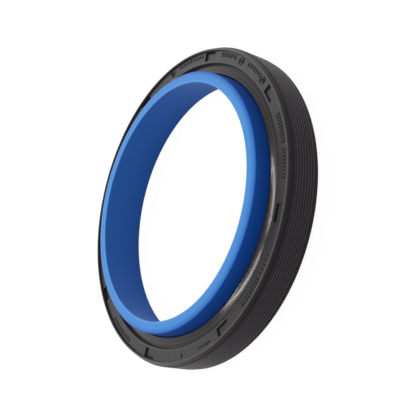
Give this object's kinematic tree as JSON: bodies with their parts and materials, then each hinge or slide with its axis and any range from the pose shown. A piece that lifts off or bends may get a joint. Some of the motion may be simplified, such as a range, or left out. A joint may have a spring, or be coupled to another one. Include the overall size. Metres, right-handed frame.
{
  "type": "crankshaft seal",
  "caption": "Ribbed rubber crankshaft seal ring with a recessed dust lip and a sheet sealing lip, held on a tapered blue plastic transport sleeve.",
  "frame": {"origin": "on the shaft's axis, in the plane of the transport sleeve's rear end, which the part rests on", "axes": "+Z along the shaft's axis towards the air side, which faces up; +X through the middle of one locating pocket"},
  "size_m": [0.13, 0.13, 0.0214],
  "materials": {
    "rubber": "black moulded rubber, satin, glossier on the dust lip",
    "case_steel": "steel with a dark phosphate and bonding coat, satin",
    "lip_sheet": "dark brown filled fluoropolymer sheet, matt",
    "sleeve_plastic": "blue moulded plastic, satin"
  },
  "bodies": {
    "root": {"rubber_body": "rubber", "steel_case": "case_steel", "sealing_lip": "lip_sheet", "transport_sleeve": "sleeve_plastic"}
  },
  "joints": []
}
